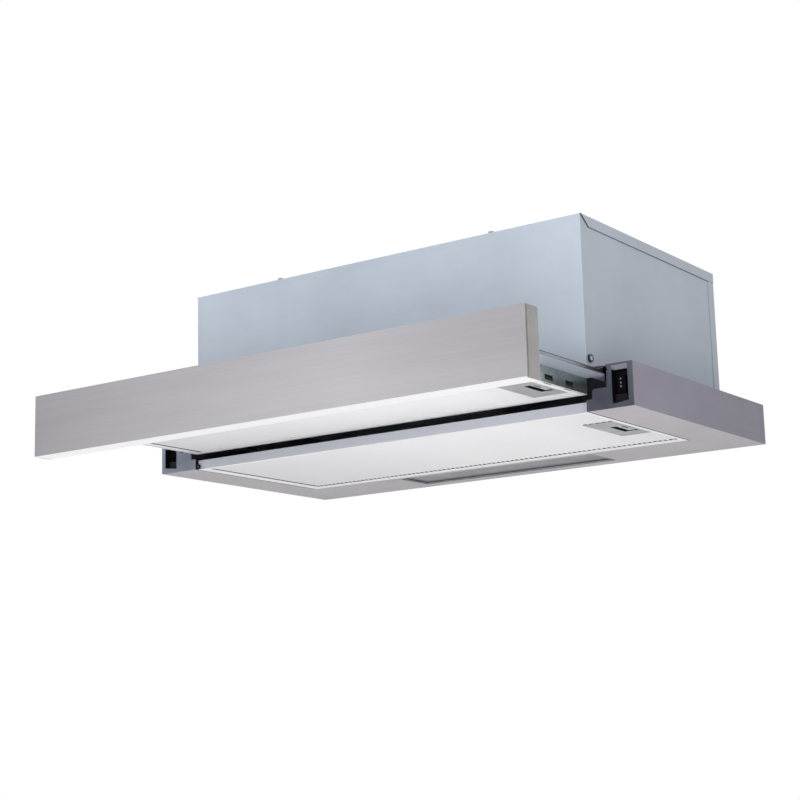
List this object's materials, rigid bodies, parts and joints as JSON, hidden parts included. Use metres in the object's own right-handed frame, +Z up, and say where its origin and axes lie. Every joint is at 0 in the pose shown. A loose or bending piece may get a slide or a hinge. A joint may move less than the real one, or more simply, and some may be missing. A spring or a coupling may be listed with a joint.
{
  "type": "pull out range hood",
  "caption": "Slim range hood that hangs under a wall cabinet, with a tray and fascia that slide out over the hob, hinged grease filters, a lamp and a round duct collar on top.",
  "frame": {"origin": "centre of the four cabinet screws, on the top face of the base frame", "axes": "+X to the right seen from the front, +Y towards the wall, +Z up; the tray pulls out along -Y"},
  "size_m": [0.599, 0.4945, 0.2415],
  "materials": {
    "base_paint": "satin grey paint",
    "box_paint": "satin pale blue-grey paint",
    "stainless": "brushed lengthwise",
    "fascia_plastic": "satin",
    "cap_dark": "satin",
    "cap_light": "satin",
    "black_plastic": "matt",
    "knob_plastic": "satin",
    "red_plastic": "satin",
    "grey_plastic": "satin",
    "white_plastic": "satin",
    "collar_plastic": "satin",
    "wheel_plastic": "matt",
    "zinc_steel": "zinc coated",
    "screw_steel": "zinc coated",
    "bare_steel": "bright",
    "tray_steel": "zinc coated, satin",
    "filter_aluminium": "satin",
    "mesh_aluminium": "layered mesh",
    "frosted_glass": "frosted",
    "board_white": "satin",
    "chip_yellow": "clear over phosphor"
  },
  "bodies": {
    "housing": {"lower_frame": "base_paint", "end_cap_right": "cap_dark", "end_cap_left": "cap_light", "speed_switch": "black_plastic", "light_switch": "black_plastic", "filter_pivot_bracket": "black_plastic", "cabinet_nuts": "screw_steel", "box_wrap": "box_paint", "box_cover": "box_paint", "box_back": "box_paint", "cover_screws": "screw_steel", "side_screws": "screw_steel", "outlet_collar": "collar_plastic", "blower_band": "zinc_steel", "blower_side_right": "zinc_steel", "blower_side_left": "zinc_steel", "fan_motor": "zinc_steel", "motor_bracket": "zinc_steel", "motor_capacitor": "white_plastic", "motor_cable": "black_plastic", "terminal_box": "white_plastic", "terminal_lid": "white_plastic", "cable_gland": "black_plastic", "lamp_housing": "zinc_steel", "led_board": "board_white", "led_chips": "chip_yellow", "light_lens": "frosted_glass", "slide_fixed_right": "zinc_steel", "slide_fixed_left": "zinc_steel", "tray_switch": "black_plastic"},
    "tray": {"tray_frame": "tray_steel", "tray_top": "tray_steel", "slide_tray_right": "zinc_steel", "slide_tray_left": "zinc_steel", "fascia_sheet": "stainless", "fascia_back": "stainless", "fascia_cap_right": "fascia_plastic", "fascia_cap_left": "fascia_plastic", "fascia_screws": "screw_steel"},
    "slide_member_right": {"slide_middle_right": "zinc_steel", "slide_balls_right": "bare_steel"},
    "slide_member_left": {"slide_middle_left": "zinc_steel", "slide_balls_left": "bare_steel"},
    "tray_filter": {"tray_filter_frame": "filter_aluminium", "tray_filter_mesh": "mesh_aluminium", "tray_latch_plate": "grey_plastic"},
    "tray_filter_latch": {"tray_latch": "grey_plastic"},
    "grease_filter": {"grease_filter_frame": "filter_aluminium", "grease_filter_mesh": "mesh_aluminium", "grease_latch_plate": "grey_plastic"},
    "grease_filter_latch": {"grease_latch": "grey_plastic"},
    "speed_control": {"speed_knob": "knob_plastic"},
    "light_control": {"light_knob": "knob_plastic"},
    "impeller": {"fan_wheel": "wheel_plastic", "motor_shaft": "bare_steel"},
    "front_flap": {"flap_front": "white_plastic"},
    "rear_flap": {"flap_rear": "white_plastic"},
    "plunger": {"switch_plunger": "red_plastic"}
  },
  "joints": [
    {"name": "tray_slide", "type": "slide", "parent": "housing", "child": "tray", "axis": [0, 1, 0], "range_m": [0, 0.1685]},
    {"name": "slide_right_travel", "type": "slide", "parent": "housing", "child": "slide_member_right", "axis": [0, 1, 0], "range_m": [0, 0.08425]},
    {"name": "slide_left_travel", "type": "slide", "parent": "housing", "child": "slide_member_left", "axis": [0, 1, 0], "range_m": [0, 0.08425]},
    {"name": "tray_filter_drop", "type": "hinge", "parent": "tray", "child": "tray_filter", "pos_m": [-0.2428, -0.235, -0.0232], "axis": [0, -1, 0], "range_deg": [-70, 0]},
    {"name": "grease_filter_drop", "type": "hinge", "parent": "housing", "child": "grease_filter", "pos_m": [-0.2461, -0.045, -0.0402], "axis": [0, -1, 0], "range_deg": [-70, 0]},
    {"name": "tray_latch_slide", "type": "slide", "parent": "tray_filter", "child": "tray_filter_latch", "axis": [1, 0, 0], "range_m": [-0.003, 0], "stiffness_N_per_m": 500},
    {"name": "grease_latch_slide", "type": "slide", "parent": "grease_filter", "child": "grease_filter_latch", "axis": [1, 0, 0], "range_m": [-0.003, 0], "stiffness_N_per_m": 500},
    {"name": "speed_slide", "type": "slide", "parent": "housing", "child": "speed_control", "axis": [0, 0, 1], "range_m": [0, 0.0195]},
    {"name": "light_slide", "type": "slide", "parent": "housing", "child": "light_control", "axis": [0, 0, 1], "range_m": [0, 0.008]},
    {"name": "fan_spin", "type": "hinge", "parent": "housing", "child": "impeller", "pos_m": [0, 0.00806, 0.085], "axis": [1, 0, 0], "continuous": true},
    {"name": "front_flap_swing", "type": "hinge", "parent": "housing", "child": "front_flap", "pos_m": [0, 0.0422, 0.1635], "axis": [-1, 0, 0], "range_deg": [0, 80]},
    {"name": "rear_flap_swing", "type": "hinge", "parent": "housing", "child": "rear_flap", "pos_m": [0, 0.0478, 0.1635], "axis": [1, 0, 0], "range_deg": [0, 80]},
    {"name": "switch_press", "type": "slide", "parent": "housing", "child": "plunger", "axis": [0, 1, 0], "range_m": [0, 0.0025], "stiffness_N_per_m": 400}
  ],
  "couplings": [
    {"joint": "slide_right_travel", "follows": "tray_slide", "ratio": 0.5},
    {"joint": "slide_left_travel", "follows": "tray_slide", "ratio": 0.5}
  ]
}
